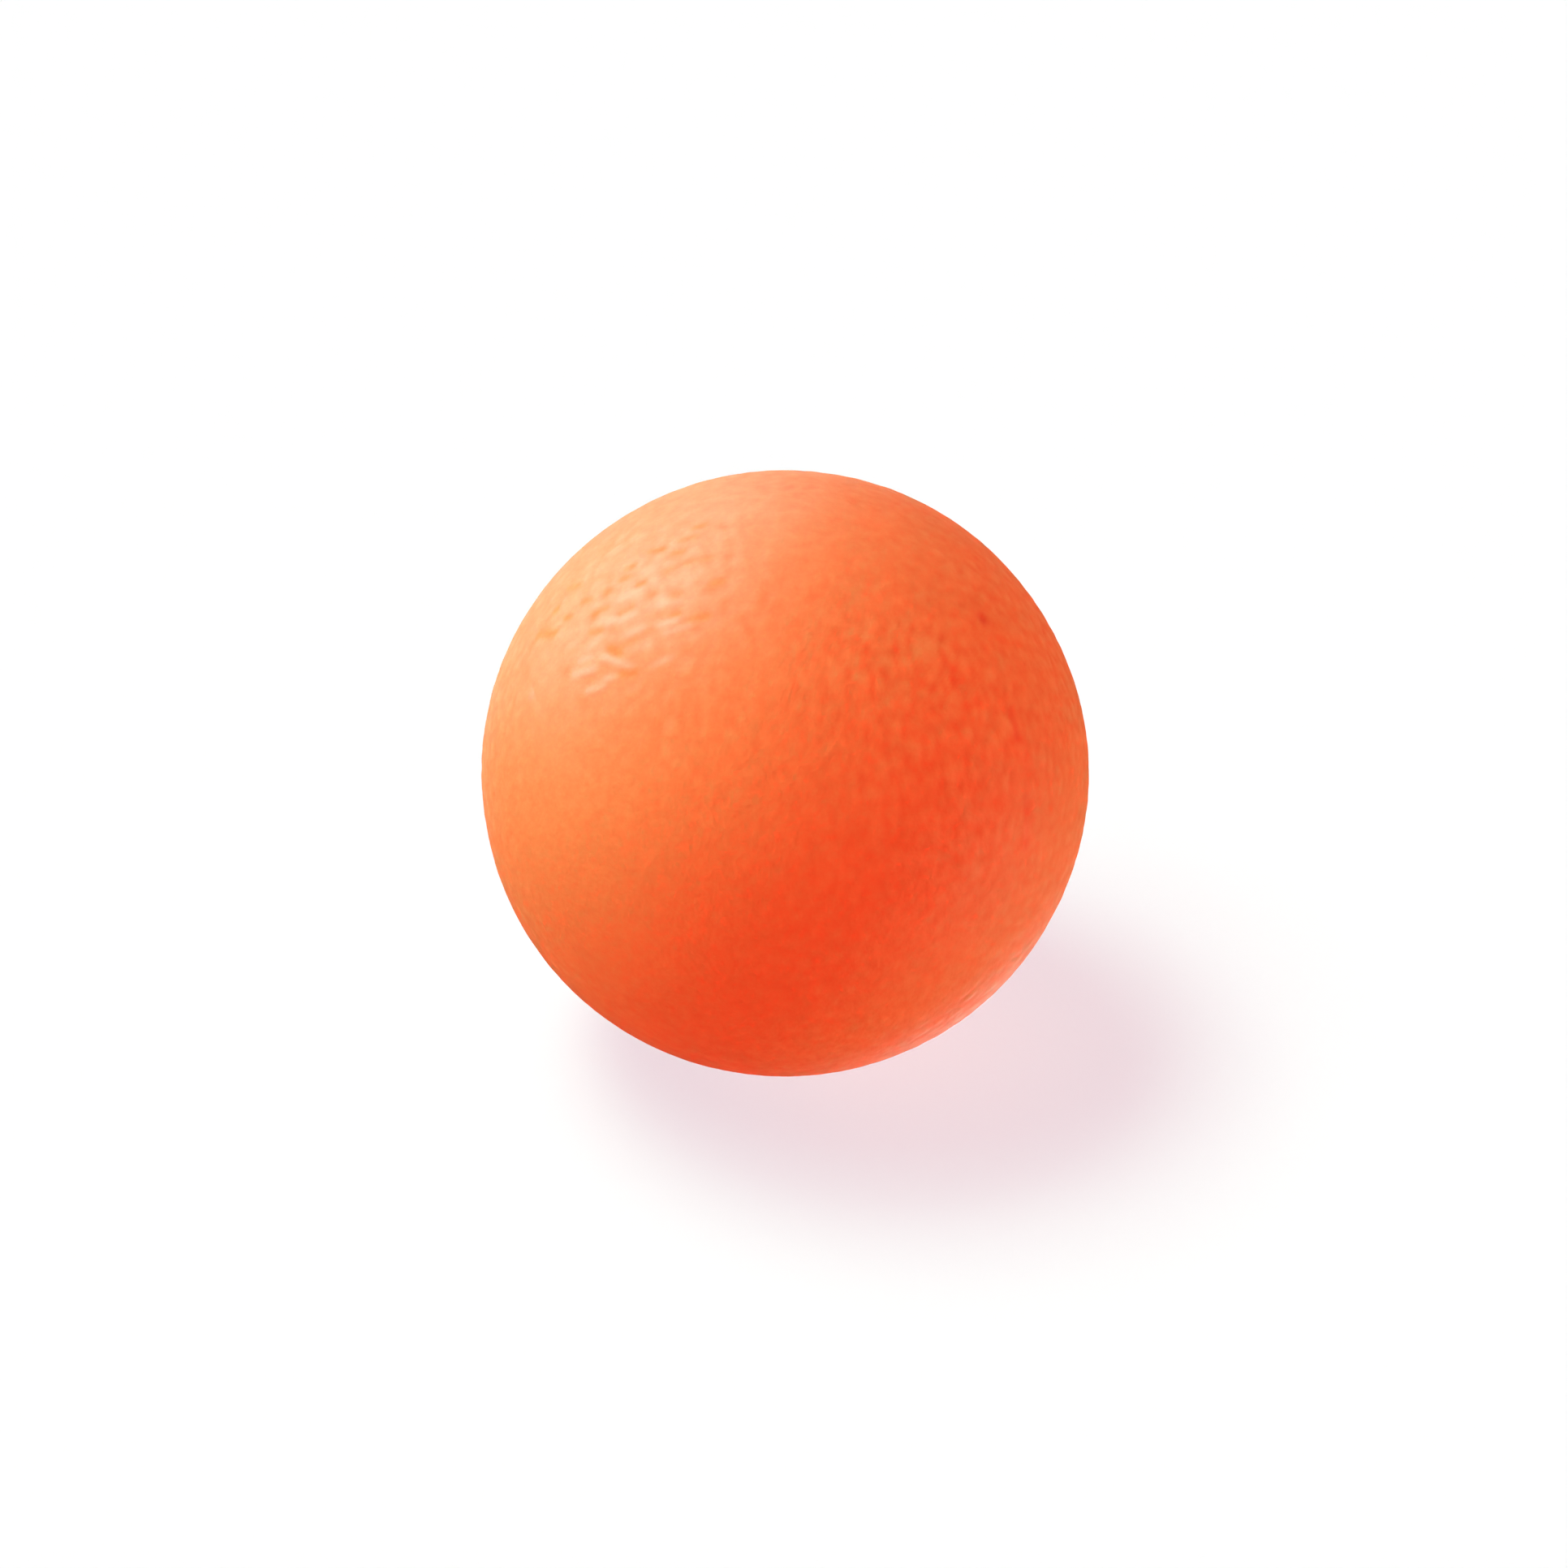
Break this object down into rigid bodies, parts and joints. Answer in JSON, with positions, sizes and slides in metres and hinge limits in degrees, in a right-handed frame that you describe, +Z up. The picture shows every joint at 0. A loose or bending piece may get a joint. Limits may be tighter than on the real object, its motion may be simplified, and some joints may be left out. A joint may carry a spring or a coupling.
{
  "type": "hand exercise ball",
  "caption": "Round soft squeeze ball for hand exercise: a thin bonded elastomer skin over a gel core, with a flush filler plug in its resting face.",
  "frame": {"origin": "centre of the flat that the ball stands on, under the ball's centre", "axes": "+Z up along the ball's axis, from the resting flat through the crown; -Y towards the camera of the picture"},
  "size_m": [0.05, 0.05, 0.0494],
  "materials": {
    "skin": "satin",
    "gel": "gloss",
    "plug": "matte"
  },
  "bodies": {
    "base": {"skin_lower": "skin", "gel_core": "gel", "fill_plug": "plug"},
    "crown": {"skin_upper": "skin"}
  },
  "joints": [
    {"name": "squeeze", "type": "slide", "parent": "base", "child": "crown", "axis": [0, 0, -1], "range_m": [0, 0.02], "stiffness_N_per_m": 1500, "deforming": ["gel_core", "skin_lower"]}
  ]
}
